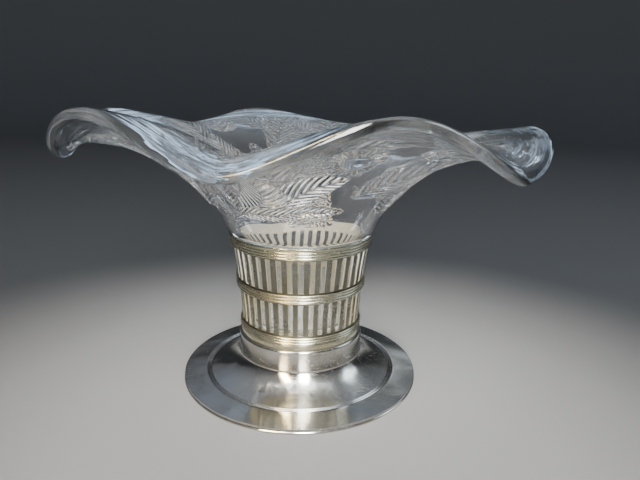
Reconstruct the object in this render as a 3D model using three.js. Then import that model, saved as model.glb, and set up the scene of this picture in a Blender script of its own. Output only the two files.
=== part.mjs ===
// Posy holder: a ruffled clear-glass bowl whose hollow stem stands in a pierced gallery on a spun foot.
// Millimetres, +Z up. The origin is the centre of the circle that the foot stands on, and the front
// faces -Y. Angles are in degrees, counted from the front towards +X.
import * as THREE from 'three';

// Gaps between pieces
const piece_gap = 0.3;          // between neighbours that don't meet on flat faces
const stem_gap = 1.1;           // between the glass stem and the gallery wall, so that it lifts freely
const stud_gap = 0.3;           // round the stud in the foot, the washer and the nut

// Spun foot
const foot_radius = 60.8;
const foot_sheet = 1;           // thickness of the spun sheet
const edge_wire_radius = 0.7;
const ring_width = 11.3;        // flat outer ring, from the edge in to the turned grooves
const ring_rise = 1.4;          // how much higher the ring is at the grooves than at its edge
const groove_width = 1.3;
const groove_depth = 0.4;
const groove_count = 2;
const sweep_inset = 3;          // how far out from the collar the concave sweep turns
const sweep_sink = 1.8;         // how far below its middle height it turns
const collar_length = 9.9;      // upright part of the collar
const shoulder_radius = 1.1;    // rounding between the collar and its flat top
const crown_height = 25;        // flat top of the collar, on which the gallery stands

// Pierced gallery
const gallery_foot_radius = 29.9;
const gallery_mouth_radius = 35;
const gallery_height = 51.5;
const gallery_wall = 0.9;
const flare_power = 1.65;       // how late the wall flares on its way up
const slot_count = 40;          // slots in each of the two rows
const slot_margin = 0.8;        // plain wall between a slot's end and the nearest moulding

// Reeded mouldings soldered round the gallery
const moulding_stand = 0.4;     // thickness behind the reeds
const reed_bulge = 0.55;
const reed_count = 3;
const reed_shares = [0, 0.25, 0.75];
const lower_plain_height = 2.9; // plain foot under the lowest reeds
const lower_reed_height = 3.9;
const middle_reed_height = 4.5;
const rim_reed_height = 4.1;
const lip_height = 1.7;         // plain flared lip above the top reeds
const lip_reach = 1.1;
const lip_cover = 0.5;          // thickness of the lip over the gallery's top edge

// Seat plate and the fastening under it
const seat_thickness = 1.2;
const stud_radius = 2.4;
const stud_end = 2;             // how far the stud stands out of the nut
const washer_width = 6.3;
const washer_thickness = 1.4;
const nut_wall = 1.7;           // least wall of the hexagon round its bore
const nut_height = 4;

// Glass bowl
const stem_wall = 3.2;
const floor_thickness = 6;
const foot_chamfer = 0.9;
const neck_inset = 0.4;         // from the gallery's mouth in to the middle of the wall above it
const neck_rise = 1.5;          // height of that point over the gallery's rim
const neck_slope = 70;
const flare_length = 33;        // how far the wall runs on before it turns outwards
const bowl_wall = 4.2;
const rim_wall = 4.8;
const bowl_radius = 110;
const dip_rise = 37.7;          // lowest edge of the ruffled rim over the gallery's rim
const ruffle_depth = 22;
const crest_breadth = 1.6;      // above 1, crests are broader than dips
const crest_slope = 8;

// One row for each dip and crest round the rim: angle, reach as a share of the bowl's radius,
// height as a share of the ruffle's depth, slope of the lip, and the lip's share of the radius.
const ruffle_shares = [
  [-13, 0.995, 0.27, -45, 0.145],
  [16, 0.982, 1, crest_slope, 0.29],
  [47, 1, 0.05, -60, 0.236],
  [86, 1.001, 0.59, crest_slope, 0.273],
  [113, 1, 0, -50, 0.2],
  [136, 1, 0.27, crest_slope, 0.273],
  [162, 1, 0, -50, 0.2],
  [196, 0.988, 0.64, crest_slope, 0.273],
  [222, 1, 0.05, -50, 0.2],
  [250, 0.991, 0.73, crest_slope, 0.273],
  [274, 1.002, 0, -60, 0.218],
  [318, 0.973, 1, crest_slope, 0.29],
];

// Rounding steps
const bowl_steps = 80;
const ring_steps = 48;
const foot_steps = 54;
const small_steps = 24;
const sweep_steps = 4;
const nut_sides = 6;
const wire_sides = 8;
const stem_shares = [0.35, 0.72];
const flare_shares = [0, 0.08, 0.2, 0.34, 0.48, 0.62, 0.76, 0.89, 1];

// Heights and radii that follow from the sizes above
const gallery_base = crown_height;
const gallery_top = gallery_base + gallery_height;
const rim_top = gallery_top + piece_gap + lip_cover;
const rim_reed_base = rim_top - lip_height - rim_reed_height;
const lower_slot_base = gallery_base + lower_plain_height + lower_reed_height + slot_margin;
const bridge_height = middle_reed_height + slot_margin * 2;
const slot_length = (rim_reed_base - slot_margin - bridge_height - lower_slot_base) / 2;
const bridge_base = lower_slot_base + slot_length;
const seat_top = gallery_base + seat_thickness;
const crown_underside = crown_height - foot_sheet;
const crown_radius = gallery_foot_radius + piece_gap + moulding_stand;
const collar_radius = crown_radius + shoulder_radius;
const stud_bore = stud_radius + stud_gap;

const silver = { color: 0xb9b2a0, metalness: 1, roughness: 0.3 };
const gilt_silver = { color: 0xb3a684, metalness: 1, roughness: 0.34 };
const steel = { color: 0x8d8a84, metalness: 1, roughness: 0.5 };
const glass = { color: 0xe4ecef, metalness: 0, roughness: 0.05, transparent: true, opacity: 0.4 };

const model = new THREE.Group();

function radians(degrees) {
  return THREE.MathUtils.degToRad(degrees);
}

function addPiece(name, geometry, finish) {
  const piece = new THREE.Mesh(geometry, new THREE.MeshStandardMaterial(finish));
  piece.name = name;
  model.add(piece);
}

// Turns an outline of [radius, height] points, which runs anticlockwise, about the Z axis.
// An outline that doesn't start on the axis closes on itself.
function revolve(outline, steps) {
  const points = outline.map(([radius, height]) => new THREE.Vector2(radius, height));
  if (points[0].x > 0) points.push(points[0].clone());
  return new THREE.LatheGeometry(points, steps).rotateX(radians(90));
}

// Outer radius of the gallery wall at a height: straight at its foot, flaring towards its mouth.
function galleryRadius(height) {
  const share = Math.max(0, (height - gallery_base) / gallery_height);
  return gallery_foot_radius + (gallery_mouth_radius - gallery_foot_radius) * share ** flare_power;
}

// Tube with rows of slots pierced through its wall. Its levels are the heights at which a row of
// slots starts or ends. Every second column of cells is open between the levels of each slot row.
function piercedTube(levels, slotRows, outerRadius, wall, slots) {
  const columns = slots * 2;
  const positions = [];
  const triangles = [];
  const inside = levels.length * columns;
  for (const inset of [0, wall]) {
    for (const height of levels) {
      for (let column = 0; column < columns; column += 1) {
        const angle = (column + 0.5) / columns * Math.PI * 2;
        const radius = outerRadius(height) - inset;
        positions.push(radius * Math.sin(angle), -radius * Math.cos(angle), height);
      }
    }
  }
  const corner = (level, column) => level * columns + (column + columns) % columns;
  const isOpen = (level, column) => slotRows.includes(level) && column % 2 === 1;
  const quad = (a, b, c, d) => triangles.push(a, b, c, a, c, d);
  const wallFrom = (start, end) => quad(start, end, end + inside, start + inside);
  const last = levels.length - 1;
  for (let column = 0; column < columns; column += 1) {
    wallFrom(corner(0, column + 1), corner(0, column));
    wallFrom(corner(last, column), corner(last, column + 1));
    for (let level = 0; level < last; level += 1) {
      const lowLeft = corner(level, column);
      const lowRight = corner(level, column + 1);
      const highLeft = corner(level + 1, column);
      const highRight = corner(level + 1, column + 1);
      if (isOpen(level, column)) {
        wallFrom(lowLeft, lowRight);
        wallFrom(lowRight, highRight);
        wallFrom(highRight, highLeft);
        wallFrom(highLeft, lowLeft);
      } else {
        quad(lowLeft, lowRight, highRight, highLeft);
        quad(highLeft + inside, highRight + inside, lowRight + inside, lowLeft + inside);
      }
    }
  }
  return bufferGeometry(positions, triangles);
}

function bufferGeometry(positions, triangles) {
  const geometry = new THREE.BufferGeometry();
  geometry.setAttribute('position', new THREE.Float32BufferAttribute(positions, 3));
  geometry.setIndex(triangles);
  geometry.computeVertexNormals();
  return geometry;
}

// Closed body round the Z axis whose section changes with the angle. The first and last points of
// a section lie on the axis, and the section runs anticlockwise.
function loftAround(sectionAt, steps) {
  const sections = [];
  for (let step = 0; step < steps; step += 1) sections.push(sectionAt(step / steps * 360));
  const rows = sections[0].length - 2;
  const positions = [0, 0, sections[0][0][1], 0, 0, sections[0][rows + 1][1]];
  const triangles = [];
  sections.forEach((section, step) => {
    const angle = step / steps * Math.PI * 2;
    for (const [radius, height] of section.slice(1, -1)) {
      positions.push(radius * Math.sin(angle), -radius * Math.cos(angle), height);
    }
  });
  const place = (step, row) => 2 + (step % steps) * rows + row;
  for (let step = 0; step < steps; step += 1) {
    triangles.push(0, place(step + 1, 0), place(step, 0));
    triangles.push(1, place(step, rows - 1), place(step + 1, rows - 1));
    for (let row = 0; row < rows - 1; row += 1) {
      const near = place(step, row);
      const far = place(step + 1, row);
      triangles.push(near, far, far + 1, near, far + 1, near + 1);
    }
  }
  return bufferGeometry(positions, triangles);
}

// Points of a row of half-round reeds from one height to another, standing out from the gallery.
function reeds(base, height) {
  const points = [];
  for (let reed = 0; reed < reed_count; reed += 1) {
    for (const share of reed_shares) {
      const level = base + (reed + share) * height / reed_count;
      const bulge = Math.sin(Math.PI * share) ** 0.5 * reed_bulge;
      points.push([galleryRadius(level) + piece_gap + moulding_stand + bulge, level]);
    }
  }
  points.push([galleryRadius(base + height) + piece_gap + moulding_stand, base + height]);
  return points;
}

function besideGallery(height) {
  return [galleryRadius(height) + piece_gap, height];
}

function addGallery() {
  const upperSlotBase = bridge_base + bridge_height;
  const levels = [
    gallery_base, lower_slot_base, bridge_base, upperSlotBase, upperSlotBase + slot_length, gallery_top,
  ];
  const slotRows = [1, 3];
  const tube = piercedTube(levels, slotRows, galleryRadius, gallery_wall, slot_count);
  addPiece('gallery_sleeve', tube, gilt_silver);
}

// Plain foot with reeds above it, standing on the top of the collar.
function addLowerMoulding() {
  const reedBase = gallery_base + lower_plain_height;
  const outline = [
    besideGallery(gallery_base),
    [galleryRadius(gallery_base) + piece_gap + moulding_stand, gallery_base],
    ...reeds(reedBase, lower_reed_height),
    besideGallery(reedBase + lower_reed_height),
  ];
  addPiece('lower_moulding', revolve(outline, ring_steps), gilt_silver);
}

// Reeds on the bridge between the two rows of slots.
function addMiddleMoulding() {
  const base = bridge_base + slot_margin;
  const outline = [
    besideGallery(base),
    ...reeds(base, middle_reed_height),
    besideGallery(base + middle_reed_height),
  ];
  addPiece('middle_moulding', revolve(outline, ring_steps), gilt_silver);
}

// Reeds below a flared lip that covers the gallery's top edge.
function addRimMoulding() {
  const lipRadius = gallery_mouth_radius + lip_reach;
  const lipRound = lip_height / 4;
  const mouthRadius = gallery_mouth_radius - gallery_wall;
  const outline = [
    besideGallery(rim_reed_base),
    ...reeds(rim_reed_base, rim_reed_height),
    [lipRadius, rim_top - lipRound * 2],
    [lipRadius, rim_top - lipRound],
    [lipRadius - lipRound, rim_top],
    [mouthRadius, rim_top],
    [mouthRadius, gallery_top + piece_gap],
    [gallery_mouth_radius + piece_gap, gallery_top + piece_gap],
  ];
  addPiece('rim_moulding', revolve(outline, ring_steps), gilt_silver);
}

// Moves a line of [radius, height] points to its left by a thickness, keeping its corners mitred.
function offsetLeft(points, thickness) {
  const corners = points.map(([radius, height]) => new THREE.Vector2(radius, height));
  const directions = corners.slice(1).map((corner, index) => corner.clone().sub(corners[index]).normalize());
  return corners.map((corner, index) => {
    const before = directions[Math.max(0, index - 1)];
    const after = directions[Math.min(directions.length - 1, index)];
    const along = before.clone().add(after).normalize();
    const reach = thickness / along.dot(after);
    return [corner.x - along.y * reach, corner.y + along.x * reach];
  });
}

// Spun from one sheet: flat ring, turned grooves, concave sweep, upright collar and closed top.
function addSpunFoot() {
  const edge = [foot_radius - piece_gap, edge_wire_radius * 2 + piece_gap + foot_sheet];
  const ringHeight = edge[1] + ring_rise;
  const ringRadius = edge[0] - ring_width;
  const collarBase = crown_height - shoulder_radius - collar_length;
  const grooves = [[ringRadius, ringHeight]];
  for (let groove = 0; groove < groove_count; groove += 1) {
    const start = ringRadius - groove * groove_width;
    grooves.push([start - groove_width / 2, ringHeight - groove_depth]);
    grooves.push([start - groove_width, ringHeight]);
  }
  const sweepStart = grooves.pop();
  const sweep = new THREE.QuadraticBezierCurve(
    new THREE.Vector2(...sweepStart),
    new THREE.Vector2(collar_radius + sweep_inset, (ringHeight + collarBase) / 2 - sweep_sink),
    new THREE.Vector2(collar_radius, collarBase),
  ).getPoints(sweep_steps).map((point) => [point.x, point.y]);
  const rounding = shoulder_radius * (1 - Math.SQRT1_2);
  const collar = [
    [collar_radius, crown_height - shoulder_radius],
    [collar_radius - rounding, crown_height - rounding],
    [crown_radius, crown_height],
    [stud_bore, crown_height],
  ];
  const underside = offsetLeft([edge, ...sweep, ...collar], foot_sheet).reverse();
  addPiece('spun_foot', revolve([edge, ...grooves, ...sweep, ...collar, ...underside], foot_steps), silver);
}

// Round wire under the foot's edge, cut here as a prism that lies flat on the table.
function addEdgeWire() {
  const outline = [];
  const reach = edge_wire_radius / Math.cos(Math.PI / wire_sides);
  for (let side = 0; side < wire_sides; side += 1) {
    const angle = (side + 0.5) / wire_sides * Math.PI * 2;
    const radius = foot_radius - edge_wire_radius + reach * Math.cos(angle);
    outline.push([radius, edge_wire_radius + reach * Math.sin(angle)]);
  }
  addPiece('foot_edge_wire', revolve(outline, foot_steps), silver);
}

// Plain disc or ring between two radii and two heights.
function disc(inner, outer, base, top, steps) {
  return revolve([[inner, base], [outer, base], [outer, top], [inner, top]], steps);
}

// Disc soldered in the gallery's foot, on which the glass stands.
function addSeatPlate() {
  const radius = gallery_foot_radius - gallery_wall - piece_gap;
  addPiece('seat_plate', disc(0, radius, gallery_base, seat_top, ring_steps), silver);
}

// Stud under the seat plate, through the foot's top, with its washer and nut in the hollow below.
function addFastening() {
  const washerBase = crown_underside - washer_thickness;
  const nutBase = washerBase - nut_height;
  const washerRadius = stud_bore + washer_width;
  const stud = disc(0, stud_radius, nutBase - stud_end, crown_height, small_steps);
  const washer = disc(stud_bore, washerRadius, washerBase, crown_underside, small_steps);
  const hexagon = new THREE.Shape();
  const reach = (stud_bore + nut_wall) / Math.cos(Math.PI / nut_sides);
  for (let side = 0; side < nut_sides; side += 1) {
    const angle = side / nut_sides * Math.PI * 2;
    const move = side === 0 ? 'moveTo' : 'lineTo';
    hexagon[move](reach * Math.cos(angle), reach * Math.sin(angle));
  }
  hexagon.closePath();
  hexagon.holes.push(new THREE.Path().absarc(0, 0, stud_bore, 0, Math.PI * 2, true));
  const nut = new THREE.ExtrudeGeometry(hexagon, {
    depth: nut_height, bevelEnabled: false, curveSegments: small_steps,
  });
  nut.translate(0, 0, nutBase);
  addPiece('gallery_stud', stud, steel);
  addPiece('foot_washer', washer, steel);
  addPiece('foot_nut', nut, steel);
}

// Rim of the bowl at an angle. Between a dip and a crest the values follow a sine, broad at the crest.
function rimAt(angle) {
  const count = ruffle_shares.length;
  const first = ruffle_shares[0][0];
  const turned = first + (angle - first + 360) % 360;
  const index = ruffle_shares.findLastIndex((row) => row[0] <= turned);
  const from = ruffle_shares[index];
  const to = ruffle_shares[(index + 1) % count];
  const end = index + 1 < count ? to[0] : to[0] + 360;
  const share = (turned - from[0]) / (end - from[0]);
  const rising = to[2] > from[2];
  const ease = Math.sin(Math.PI / 2 * (rising ? share : 1 - share)) ** crest_breadth;
  const mix = rising ? ease : 1 - ease;
  const [, reach, height, slope, lip] = from.map((value, item) => value + (to[item] - value) * mix);
  return {
    radius: bowl_radius * reach,
    height: rim_top + dip_rise + ruffle_depth * height,
    slope: radians(slope),
    lip: bowl_radius * lip,
  };
}

// Middle line of the bowl's wall at an angle, from the neck to the rim.
function flareLine(angle) {
  const rim = rimAt(angle);
  const neck = new THREE.Vector2(gallery_mouth_radius - neck_inset, rim_top + neck_rise);
  const end = new THREE.Vector2(rim.radius, rim.height);
  const rise = radians(neck_slope);
  return new THREE.CubicBezierCurve(
    neck,
    new THREE.Vector2(Math.cos(rise), Math.sin(rise)).multiplyScalar(flare_length).add(neck),
    new THREE.Vector2(-Math.cos(rim.slope), -Math.sin(rim.slope)).multiplyScalar(rim.lip).add(end),
    end,
  );
}

// Section of the glass: base, stem, overhanging neck, ruffled flare, rounded rim and the way back.
function bowlSection(angle) {
  const base = seat_top + piece_gap;
  const stemTop = rim_top + piece_gap;
  const stemRadius = (height) => galleryRadius(Math.min(height, gallery_top)) - gallery_wall - stem_gap;
  const stemInside = (height) => [stemRadius(height) - stem_wall, height];
  const floor = base + floor_thickness;
  const line = flareLine(angle);
  const wallPoint = (share, side) => {
    const middle = line.getPoint(share);
    const along = line.getTangent(share);
    const half = (bowl_wall + (rim_wall - bowl_wall) * share) / 2;
    return [middle.x + along.y * half * side, middle.y - along.x * half * side];
  };
  const end = line.getPoint(1);
  const outwards = line.getTangent(1);
  const rimRound = rim_wall / 2;
  const stemHeights = stem_shares.map((share) => base + (stemTop - base) * share);
  return [
    [0, base],
    [stemRadius(base) - foot_chamfer, base],
    [stemRadius(base), base + foot_chamfer],
    ...stemHeights.map((height) => [stemRadius(height), height]),
    [stemRadius(stemTop), stemTop],
    ...flare_shares.map((share) => wallPoint(share, 1)),
    [end.x + outwards.x * rimRound, end.y + outwards.y * rimRound],
    ...flare_shares.map((share) => wallPoint(share, -1)).reverse(),
    ...stem_shares.map((share) => floor + (gallery_top - floor) * share).reverse().map(stemInside),
    stemInside(floor + foot_chamfer),
    [stemRadius(floor) - stem_wall - foot_chamfer, floor],
    [0, floor],
  ];
}

function addGlassBowl() {
  addPiece('glass_bowl', loftAround(bowlSection, bowl_steps), glass);
}

addEdgeWire();
addSpunFoot();
addFastening();
addSeatPlate();
addGallery();
addLowerMoulding();
addMiddleMoulding();
addRimMoulding();
addGlassBowl();

export default model;
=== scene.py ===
import math

import bpy
import numpy as np
from mathutils import Matrix


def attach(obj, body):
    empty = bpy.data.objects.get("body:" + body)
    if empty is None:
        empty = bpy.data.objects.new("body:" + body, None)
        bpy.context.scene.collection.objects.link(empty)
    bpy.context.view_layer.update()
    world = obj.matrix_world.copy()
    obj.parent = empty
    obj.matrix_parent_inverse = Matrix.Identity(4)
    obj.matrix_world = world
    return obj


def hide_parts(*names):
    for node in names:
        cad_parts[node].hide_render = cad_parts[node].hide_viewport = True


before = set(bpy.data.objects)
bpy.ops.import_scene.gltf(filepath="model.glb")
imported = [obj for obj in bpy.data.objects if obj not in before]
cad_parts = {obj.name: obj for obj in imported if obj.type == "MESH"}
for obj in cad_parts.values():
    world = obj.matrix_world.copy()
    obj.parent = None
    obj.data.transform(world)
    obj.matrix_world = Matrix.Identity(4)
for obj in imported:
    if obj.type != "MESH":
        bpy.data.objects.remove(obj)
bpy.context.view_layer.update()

# Posy holder: a ruffled glass bowl whose hollow stem stands in a pierced, plated gallery. Its pieces are in
# millimetres until they go into a mesh, and the studio is in metres.
mm = 0.001

# Heights and clearances that several pieces share
common = {
    "gap": 0.3,  # between neighbours that are soldered or rest on each other
    "crown": 25.0,  # flat top of the foot, on which the gallery stands
    "galleryHeight": 51.5,
    "footRadius": 29.9,  # gallery wall at its foot
    "mouthRadius": 35.0,  # gallery wall at its mouth
    "wall": 0.9,
    "flarePower": 1.65,
    "lipCover": 0.5,
}
galleryTop = common["crown"] + common["galleryHeight"]
rimTop = galleryTop + common["gap"] + common["lipCover"]


# Outer radius of the gallery wall: upright at its foot, then flaring as a power of the height share
def galleryRadius(height):
    share = np.clip((np.asarray(height, float) - common["crown"]) / common["galleryHeight"], 0, None)
    low, high = common["footRadius"], common["mouthRadius"]
    return low + (high - low) * share ** common["flarePower"]


# Circular arc: centre plus radius times the cosine and sine of an evenly stepped angle
def arc(centre, radius, start, end, count):
    angle = np.radians(np.linspace(start, end, count))
    return np.stack([centre[0] + radius * np.cos(angle), centre[1] + radius * np.sin(angle)], -1)


# Straight line of evenly spaced points
def line(start, end, count):
    return np.linspace(start, end, count)


# Quadratic curve: the squares and the double product of share and one minus share weigh its corners
def bend(start, middle, end, count):
    share = np.linspace(0, 1, count)[:, None]
    start, middle, end = map(np.array, (start, middle, end))
    return (1 - share) ** 2 * start + 2 * share * (1 - share) * middle + share**2 * end


# Smooth step from 0 to 1 between two values: three times the square less twice the cube
def smooth(low, high, value):
    share = np.clip((value - low) / (high - low), 0, 1)
    return share * share * (3 - 2 * share)


# Faces between neighbouring rings of a grid, each ring closed on itself
def ringFaces(rows, steps, closed):
    row = np.arange(rows if closed else rows - 1)[:, None] * steps
    above = (row + steps) % (rows * steps)
    column = np.arange(steps)[None, :]
    after = (column + 1) % steps
    return np.stack([row + column, row + after, above + after, above + column], -1).reshape(-1, 4)


# Faces that close a ring of a grid to one point
def fan(centre, first, steps, upward):
    column = first + np.arange(steps)
    ring = (column, np.roll(column, -1)) if upward else (np.roll(column, -1), column)
    return np.stack([np.full(steps, centre), *ring], -1).tolist()


# Carries sections round the Z axis: x is radius times sine, y is minus radius times cosine of the angle.
# The sections close on themselves, or end in two points on the axis at the given heights.
def aroundAxis(radius, height, ends=None):
    rows, steps = radius.shape
    angle = np.arange(steps) / steps * 2 * np.pi
    points = np.stack([radius * np.sin(angle), -radius * np.cos(angle), height], -1).reshape(-1, 3)
    if ends is None:
        return points, ringFaces(rows, steps, True).tolist()
    points = np.vstack([points, [[0, 0, ends[0]], [0, 0, ends[1]]]])
    count = rows * steps
    caps = fan(count, 0, steps, False) + fan(count + 1, count - steps, steps, True)
    return points, ringFaces(rows, steps, False).tolist() + caps


# One outline of radius and height, anticlockwise, repeated at every angle
def turned(outline, steps):
    outline = np.asarray(outline, float)
    ends = None
    if outline[0, 0] == 0:
        ends = (outline[0, 1], outline[-1, 1])
        outline = outline[1:-1]
    radius, height = np.repeat(outline.T[:, :, None], steps, 2)
    return aroundAxis(radius, height, ends)


# Puts a mesh or a camera into the scene as an object
def addObject(name, data):
    made = bpy.data.objects.new(name, data)
    bpy.context.scene.collection.objects.link(made)
    return made


# Piece made of points and faces, with one number per point for each named attribute
def makePiece(name, points, faces, material, body, replaced, sharp=35, marks=None):
    mesh = bpy.data.meshes.new(name)
    mesh.from_pydata((np.asarray(points) * mm).tolist(), [], faces)
    for mark, values in (marks or {}).items():
        data = np.zeros(len(mesh.vertices), np.float32)
        data[: len(values)] = values
        mesh.attributes.new(mark, "FLOAT", "POINT").data.foreach_set("value", data)
    mesh.shade_smooth()
    mesh.set_sharp_from_angle(angle=math.radians(sharp))
    mesh.materials.append(material)
    mesh.update()
    piece = addObject(name, mesh)
    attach(piece, body)
    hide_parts(replaced)
    return piece


# Turned piece of the holder, with the darkening of each point of its outline, partly dirt and partly painted
# shade
def makeTurned(name, outline, steps, material, replaced, dirtAndShade=None):
    points, faces = turned(outline, steps)
    marks = {}
    if dirtAndShade is not None:
        marks["grimeAndShade"] = np.repeat(np.broadcast_to(dirtAndShade, len(outline)), steps)[: len(points)]
    makePiece(name, points, faces, material, "holder", replaced, marks=marks)


# Links each input of a node to a socket, or sets it to a value
def feed(tree, node, inputs):
    for key, value in inputs.items():
        if isinstance(value, bpy.types.NodeSocket):
            tree.links.new(value, node.inputs[key])
        else:
            node.inputs[key].default_value = value


# Adds a node with its settings and its inputs
def addNode(tree, kind, inputs=None, **settings):
    node = tree.nodes.new("ShaderNode" + kind)
    for key, value in settings.items():
        setattr(node, key, value)
    feed(tree, node, inputs or {})
    return node


# One operation on numbers or sockets, from the first to the last
def maths(tree, operation, first, *others):
    for other in others or (0.0,):
        first = addNode(tree, "Math", {0: first, 1: other}, operation=operation).outputs[0]
    return first


def plus(tree, *terms):
    return maths(tree, "ADD", *terms)


def times(tree, *factors):
    return maths(tree, "MULTIPLY", *factors)


# Smooth step from one value to another while the first goes from low to high
def between(tree, value, low, high, outLow=0.0, outHigh=1.0):
    inputs = {"Value": value, "From Min": low, "From Max": high, "To Min": outLow, "To Max": outHigh}
    return addNode(tree, "MapRange", inputs, interpolation_type="SMOOTHSTEP").outputs["Result"]


# The first colour where the factor is 0, the second where it is 1
def mixColour(tree, factor, first, second):
    return addNode(tree, "Mix", {0: factor, 6: first, 7: second}, data_type="RGBA").outputs[2]


# Number that a piece carries at each point under a name
def attribute(tree, name):
    return addNode(tree, "Attribute", attribute_name=name).outputs["Fac"]


def noise(tree, where, scale, detail, roughness=0.5):
    inputs = {"Vector": where, "Scale": scale, "Detail": detail, "Roughness": roughness}
    return addNode(tree, "TexNoise", inputs).outputs["Fac"]


# Normal tilted by the slope of a height in metres, on top of an earlier bump
def bump(tree, height, strength, distance, earlier=None):
    inputs = {"Height": height, "Strength": strength, "Distance": distance}
    if earlier is not None:
        inputs["Normal"] = earlier
    return addNode(tree, "Bump", inputs).outputs[0]


def vectorMaths(tree, operation, *inputs, output=0):
    return addNode(tree, "VectorMath", dict(enumerate(inputs)), operation=operation).outputs[output]


def separate(tree, vector):
    return addNode(tree, "SeparateXYZ", {0: vector}).outputs


def combine(tree, **parts):
    return addNode(tree, "CombineXYZ", parts).outputs[0]


def newMaterial(name):
    material = bpy.data.materials.new(name)
    material.use_nodes = True
    tree = material.node_tree
    shader = tree.nodes["Principled BSDF"]
    place = addNode(tree, "TexCoord").outputs["Object"]
    return material, tree, shader, place


# Plated silver. Lines is the strength of the turning lines, and brushed how far a turned face draws its
# highlights out. Dirty is the dark that dirt and painted shade bring. The unpolished bore is matt, painted
# pale cream at the mouth as light falling in from above, and painted darker and yellower low down as shade.
silver = {
    "footSilver": {
        "bright": (0.61, 0.60, 0.575, 1), "worn": (0.50, 0.48, 0.43, 1), "dirtyAndShaded": (0.10, 0.085, 0.065, 1),
        "roughness": 0.13, "lines": 0.5, "brushed": 0.85},
    # The gallery's plate is far darker than the foot's: tarnish, and a painted dark reflection of its
    # surroundings
    "gallerySilverWithPaintedShade": {
        "bright": (0.225, 0.225, 0.19, 1), "worn": (0.17, 0.165, 0.13, 1), "dirtyAndShaded": (0.05, 0.04, 0.025, 1),
        "roughness": 0.26, "lines": 0.25, "brushed": 0.0},
    "reedSilver": {
        "bright": (0.62, 0.60, 0.46, 1), "worn": (0.46, 0.43, 0.31, 1), "dirtyAndShaded": (0.07, 0.065, 0.04, 1),
        "roughness": 0.19, "lines": 0.25, "brushed": 0.0},
    "unpolishedBoreWithPaintedLight": {
        "low": (0.54, 0.47, 0.28, 1), "high": (0.97, 0.95, 0.86, 1), "levels": (0.052, 0.062),
        "roughness": 0.35, "bare": 0.85},
    # noises as scale and detail, bumps as strength and depth in metres
    "clouds": (38.0, 5.0, 0.6), "spots": (420.0, 3.0), "lines": (2600.0, 2.0), "dents": (55.0, 1.0),
    "scratches": (1.0, 2.0), "scratchPlace": {"Rotation": (0.3, 0.2, 0.7), "Scale": (60.0, 2600.0, 900.0)},
    "dentBump": (0.6, 0.0012), "lineDepth": 0.00003, "scratchBump": (0.12, 0.00004),
    # where a noise counts, and how much it does there
    "tarnish": (0.42, 0.68), "speckle": (0.5, 0.75, 0.0, 0.35), "scratched": (0.55, 0.75, 0.0, 0.1),
    "grimeAndShade": 0.85, "dullTarnish": 0.08, "dullSoil": 0.25, "quarterTurn": 0.25,
}


# Old silver plate: bright metal with clouds of thin tarnish, and the dark of dirt and painted shade in its
# corners and hollows. Its bumps are turning lines, a noise of the radius and the height, long soft dents, and
# fine random scratches.
def silverPlate(name):
    finish = silver[name]
    raw = silver["unpolishedBoreWithPaintedLight"]
    material, tree, shader, place = newMaterial(name)
    x, y, z = separate(tree, place)
    radius = vectorMaths(tree, "LENGTH", combine(tree, X=x, Y=y), output="Value")
    sideways = vectorMaths(tree, "NORMALIZE", combine(tree, X=times(tree, y, -1.0), Y=x))
    lines = noise(tree, combine(tree, X=radius, Y=z), *silver["lines"])
    dents = noise(tree, place, *silver["dents"])
    stretched = addNode(tree, "Mapping", {"Vector": place, **silver["scratchPlace"]}).outputs[0]
    scratches = noise(tree, stretched, *silver["scratches"])
    hidden = attribute(tree, "unpolishedBoreWithPaintedLight")
    tarnish = between(tree, noise(tree, place, *silver["clouds"]), *silver["tarnish"])
    speckle = between(tree, noise(tree, place, *silver["spots"]), *silver["speckle"])
    # This mark darkens grooves, corners, valleys and faces between parts towards the dirty colour: partly
    # dirt, partly painted shade
    grimeAndShade = times(tree, attribute(tree, "grimeAndShade"), silver["grimeAndShade"])
    soilAndShade = maths(tree, "MAXIMUM", grimeAndShade, times(tree, speckle, tarnish))
    metal = mixColour(tree, tarnish, finish["bright"], finish["worn"])
    soiledAndShaded = mixColour(tree, soilAndShade, metal, finish["dirtyAndShaded"])
    # The bore's colour is painted light: pale cream near the mouth, darker and yellower low down as painted
    # shade
    creamWithPaintedLight = mixColour(tree, between(tree, z, *raw["levels"]), raw["low"], raw["high"])
    dull = times(tree, tarnish, silver["dullTarnish"])
    dirtyAndShaded = times(tree, soilAndShade, silver["dullSoil"])
    fine = between(tree, scratches, *silver["scratched"])
    matt = plus(tree, times(tree, hidden, raw["roughness"]), finish["roughness"])
    dented = bump(tree, dents, *silver["dentBump"])
    spun = bump(tree, lines, finish["lines"], silver["lineDepth"], dented)
    feed(tree, shader, {
        "Base Color": mixColour(tree, hidden, soiledAndShaded, creamWithPaintedLight),
        "Metallic": maths(tree, "SUBTRACT", 1.0, times(tree, hidden, raw["bare"])),
        "Roughness": plus(tree, dull, dirtyAndShaded, fine, matt),
        "Tangent": sideways, "Anisotropic": finish["brushed"], "Anisotropic Rotation": silver["quarterTurn"],
        "Normal": bump(tree, scratches, *silver["scratchBump"], spun)})
    return material


steelLook = {
    "clean": (0.42, 0.41, 0.39, 1), "rusty": (0.2, 0.15, 0.11, 1), "specks": (300.0, 6.0),
    "rust": (0.5, 0.7), "roughness": (0.3, 0.8, 0.35, 0.7), "pits": (0.4, 0.0001),
}


# Dull plated steel of the stud, washer and nut, with specks of rust
def dullSteel():
    material, tree, shader, place = newMaterial("dullSteel")
    rust = noise(tree, place, *steelLook["specks"])
    feed(tree, shader, {
        "Base Color": mixColour(
            tree, between(tree, rust, *steelLook["rust"]), steelLook["clean"], steelLook["rusty"]),
        "Roughness": between(tree, rust, *steelLook["roughness"]), "Metallic": 1.0,
        "Normal": bump(tree, rust, *steelLook["pits"])})
    return material


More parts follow.
